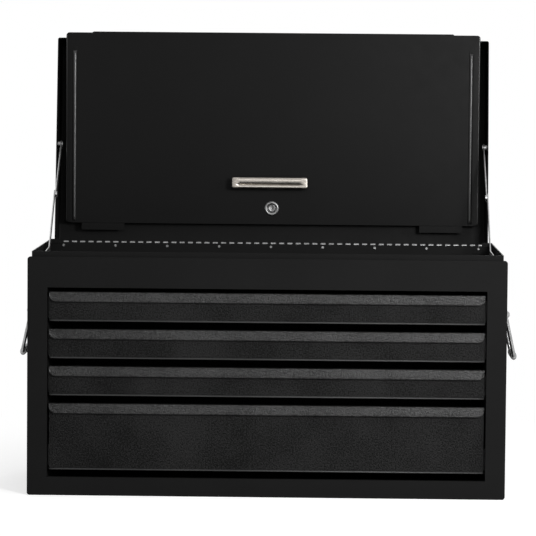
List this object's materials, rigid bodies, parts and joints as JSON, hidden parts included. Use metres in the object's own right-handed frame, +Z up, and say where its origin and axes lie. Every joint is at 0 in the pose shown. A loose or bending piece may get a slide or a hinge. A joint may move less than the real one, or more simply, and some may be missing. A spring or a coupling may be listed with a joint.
{
  "type": "machinist tool chest",
  "caption": "Sheet-steel tool chest with sliding drawers, an open top tray, a hinged lid on folding stays and a lift-off front cover stored in the lid.",
  "frame": {"origin": "centre of the base's resting face", "axes": "+X to the right along the width, -Y to the front, +Z up"},
  "size_m": [0.7314, 0.4433, 0.6682],
  "materials": {
    "body_paint": "satin black paint",
    "pull_trim": "dark grey textured paint",
    "drawer_mat": "matt ribbed mat",
    "tray_mat": "matt felt",
    "slide_steel": "black zinc plated",
    "grip_sleeve": "plated, ribbed",
    "handle_steel": "bright plated steel",
    "stay_steel": "zinc plated",
    "hinge_steel": "bare rolled steel",
    "nickel": "brushed nickel",
    "lock_chrome": "polished",
    "zinc_steel": "zinc plated"
  },
  "bodies": {
    "cabinet": {"cabinet_shell": "body_paint", "back_panel": "body_paint", "base_panel": "body_paint", "front_frame": "body_paint", "slide_panel_left": "body_paint", "slide_panel_right": "body_paint", "top_tray": "body_paint", "tray_liner": "tray_mat", "slide_outer_1": "slide_steel", "slide_outer_2": "slide_steel", "slide_outer_3": "slide_steel", "slide_outer_4": "slide_steel", "hinge_leaf_lower": "hinge_steel", "hinge_pin": "hinge_steel", "hinge_rivets_lower": "hinge_steel", "handle_bracket_left": "handle_steel", "handle_bracket_right": "handle_steel", "stay_studs_lower": "stay_steel"},
    "lid": {"lid_shell": "body_paint", "hinge_leaf_upper": "body_paint", "hinge_rivets_upper": "body_paint", "cover_clips": "body_paint", "stay_studs_upper": "stay_steel"},
    "cover": {"cover_panel": "body_paint", "cover_handle": "nickel", "cover_handle_screws": "zinc_steel", "lock_body": "lock_chrome", "lock_nut": "zinc_steel"},
    "lock_cylinder": {"lock_plug": "lock_chrome", "lock_cam": "zinc_steel"},
    "stay_lower_arm_left": {"stay_lower_left": "stay_steel"},
    "stay_lower_arm_right": {"stay_lower_right": "stay_steel"},
    "stay_upper_arm_left": {"stay_upper_left": "stay_steel"},
    "stay_upper_arm_right": {"stay_upper_right": "stay_steel"},
    "handle_left": {"bail_left": "handle_steel", "bail_grip_left": "grip_sleeve"},
    "handle_right": {"bail_right": "handle_steel", "bail_grip_right": "grip_sleeve"},
    "drawer_1": {"drawer_box_1": "body_paint", "drawer_pull_1": "pull_trim", "drawer_liner_1": "drawer_mat", "slide_inner_1": "slide_steel"},
    "slide_middle_1": {"slide_middle_1": "slide_steel"},
    "drawer_2": {"drawer_box_2": "body_paint", "drawer_pull_2": "pull_trim", "drawer_liner_2": "drawer_mat", "slide_inner_2": "slide_steel"},
    "slide_middle_2": {"slide_middle_2": "slide_steel"},
    "drawer_3": {"drawer_box_3": "body_paint", "drawer_pull_3": "pull_trim", "drawer_liner_3": "drawer_mat", "slide_inner_3": "slide_steel"},
    "slide_middle_3": {"slide_middle_3": "slide_steel"},
    "drawer_4": {"drawer_box_4": "body_paint", "drawer_pull_4": "pull_trim", "drawer_liner_4": "drawer_mat", "slide_inner_4": "slide_steel"},
    "slide_middle_4": {"slide_middle_4": "slide_steel"}
  },
  "joints": [
    {"name": "lid_hinge", "type": "hinge", "parent": "cabinet", "child": "lid", "pos_m": [0, 0.1614, 0.3455], "axis": [-1, 0, 0], "range_deg": [-99, 0]},
    {"name": "cover_lift_out", "type": "slide", "parent": "lid", "child": "cover", "axis": [0, -0.866, 0.5], "range_m": [0, 0.25]},
    {"name": "lock_turn", "type": "hinge", "parent": "cover", "child": "lock_cylinder", "pos_m": [0, 0.21633, 0.39717], "axis": [0, -1, 0], "range_deg": [0, 90]},
    {"name": "stay_lower_turn_left", "type": "hinge", "parent": "cabinet", "child": "stay_lower_arm_left", "pos_m": [-0.3323, 0.012, 0.329], "axis": [1, 0, 0], "range_deg": [0, 116.3]},
    {"name": "stay_upper_turn_left", "type": "hinge", "parent": "lid", "child": "stay_upper_arm_left", "pos_m": [-0.3264, 0.21528, 0.4939], "axis": [1, 0, 0], "range_deg": [-138.71, 0]},
    {"name": "stay_lower_turn_right", "type": "hinge", "parent": "cabinet", "child": "stay_lower_arm_right", "pos_m": [0.3323, 0.012, 0.329], "axis": [1, 0, 0], "range_deg": [0, 116.3]},
    {"name": "stay_upper_turn_right", "type": "hinge", "parent": "lid", "child": "stay_upper_arm_right", "pos_m": [0.3264, 0.21528, 0.4939], "axis": [1, 0, 0], "range_deg": [-138.71, 0]},
    {"name": "drawer_1_slide", "type": "slide", "parent": "cabinet", "child": "drawer_1", "axis": [0, -1, 0], "range_m": [0, 0.24]},
    {"name": "middle_1_slide", "type": "slide", "parent": "cabinet", "child": "slide_middle_1", "axis": [0, -1, 0], "range_m": [0, 0.12]},
    {"name": "drawer_2_slide", "type": "slide", "parent": "cabinet", "child": "drawer_2", "axis": [0, -1, 0], "range_m": [0, 0.24]},
    {"name": "middle_2_slide", "type": "slide", "parent": "cabinet", "child": "slide_middle_2", "axis": [0, -1, 0], "range_m": [0, 0.12]},
    {"name": "drawer_3_slide", "type": "slide", "parent": "cabinet", "child": "drawer_3", "axis": [0, -1, 0], "range_m": [0, 0.24]},
    {"name": "middle_3_slide", "type": "slide", "parent": "cabinet", "child": "slide_middle_3", "axis": [0, -1, 0], "range_m": [0, 0.12]},
    {"name": "drawer_4_slide", "type": "slide", "parent": "cabinet", "child": "drawer_4", "axis": [0, -1, 0], "range_m": [0, 0.24]},
    {"name": "middle_4_slide", "type": "slide", "parent": "cabinet", "child": "slide_middle_4", "axis": [0, -1, 0], "range_m": [0, 0.12]},
    {"name": "handle_swing_left", "type": "hinge", "parent": "cabinet", "child": "handle_left", "pos_m": [-0.3475, 0, 0.258], "axis": [0, 1, 0], "range_deg": [0, 75]},
    {"name": "handle_swing_right", "type": "hinge", "parent": "cabinet", "child": "handle_right", "pos_m": [0.3475, 0, 0.258], "axis": [0, -1, 0], "range_deg": [0, 75]}
  ],
  "couplings": [
    {"joint": "stay_lower_turn_left", "follows": "lid_hinge", "ratio": -1.1727},
    {"joint": "stay_upper_turn_left", "follows": "lid_hinge", "ratio": 1.3991},
    {"joint": "stay_lower_turn_right", "follows": "lid_hinge", "ratio": -1.1727},
    {"joint": "stay_upper_turn_right", "follows": "lid_hinge", "ratio": 1.3991},
    {"joint": "middle_1_slide", "follows": "drawer_1_slide", "ratio": 0.5},
    {"joint": "middle_2_slide", "follows": "drawer_2_slide", "ratio": 0.5},
    {"joint": "middle_3_slide", "follows": "drawer_3_slide", "ratio": 0.5},
    {"joint": "middle_4_slide", "follows": "drawer_4_slide", "ratio": 0.5}
  ]
}
